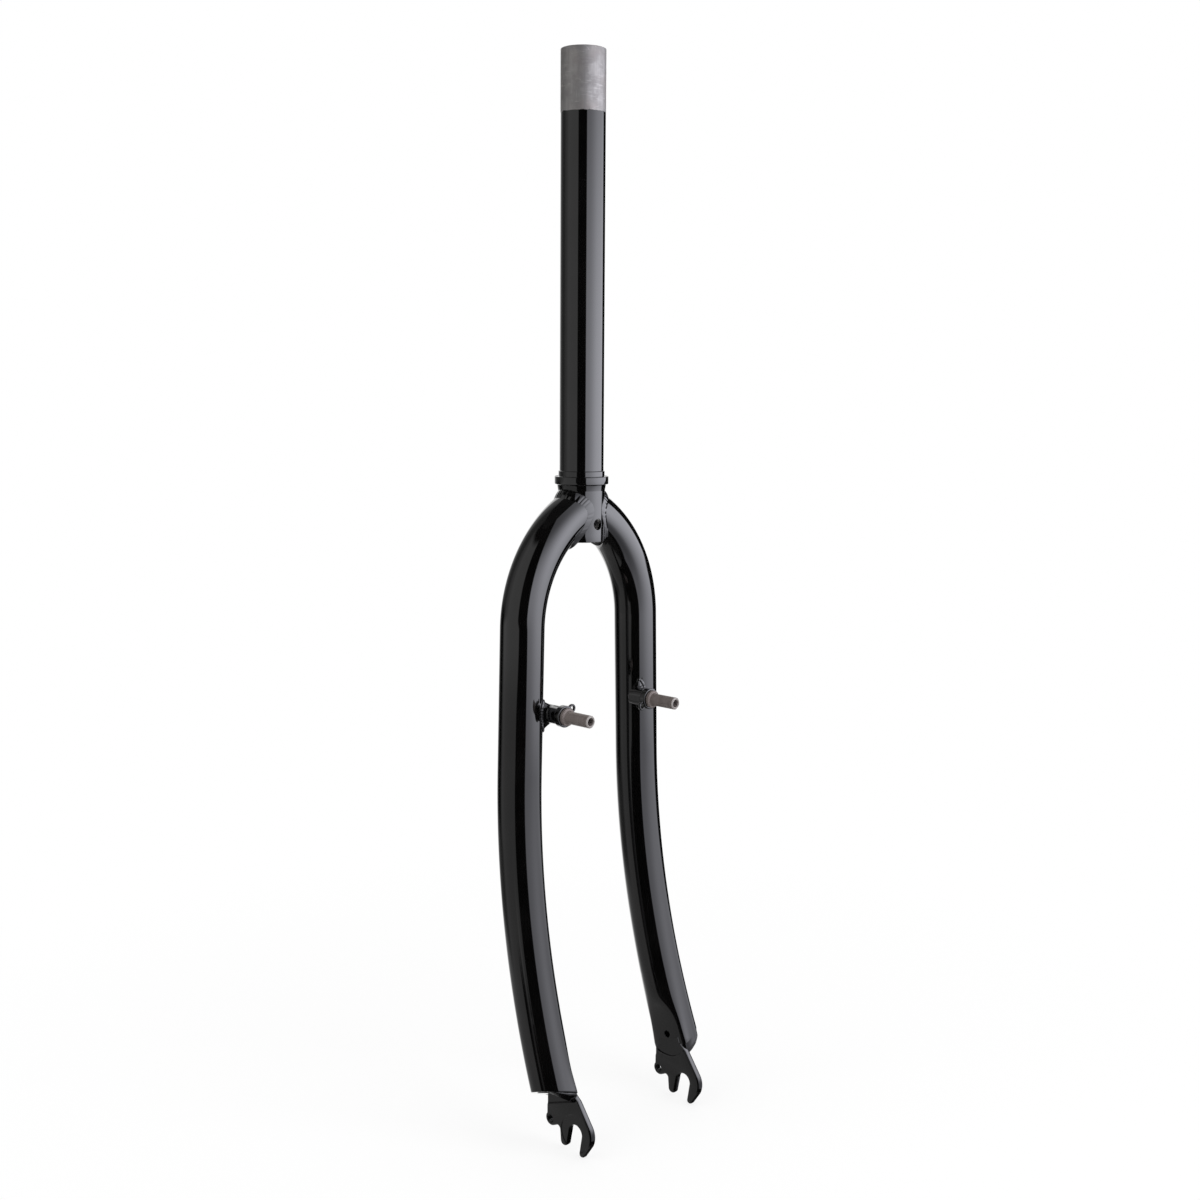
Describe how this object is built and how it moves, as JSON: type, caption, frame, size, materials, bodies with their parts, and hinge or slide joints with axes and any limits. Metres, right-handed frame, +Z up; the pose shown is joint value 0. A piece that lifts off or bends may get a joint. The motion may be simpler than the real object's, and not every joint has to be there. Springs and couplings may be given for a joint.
{
  "type": "mountain bike fork",
  "caption": "Rigid steel bicycle fork with a threadless steerer, curved tubular blades, brake studs and slotted plate dropouts that hold a front wheel.",
  "frame": {"origin": "on the steerer's axis, at the shoulder that the crown race sits on", "axes": "+Z up along the steerer, -Y forward (the way the fork rakes), +X to the rider's left"},
  "size_m": [0.1484, 0.083, 0.6949],
  "materials": {
    "black_paint": "gloss",
    "bare_steel": "turned, dull"
  },
  "bodies": {
    "root": {"steerer_tube": "black_paint", "left_blade": "black_paint", "right_blade": "black_paint", "left_dropout": "black_paint", "right_dropout": "black_paint", "left_dropout_weld": "black_paint", "right_dropout_weld": "black_paint", "left_crown_weld": "black_paint", "right_crown_weld": "black_paint", "left_brake_boss": "black_paint", "right_brake_boss": "black_paint", "left_boss_weld": "black_paint", "right_boss_weld": "black_paint", "left_brake_stud": "bare_steel", "right_brake_stud": "bare_steel"}
  },
  "joints": []
}
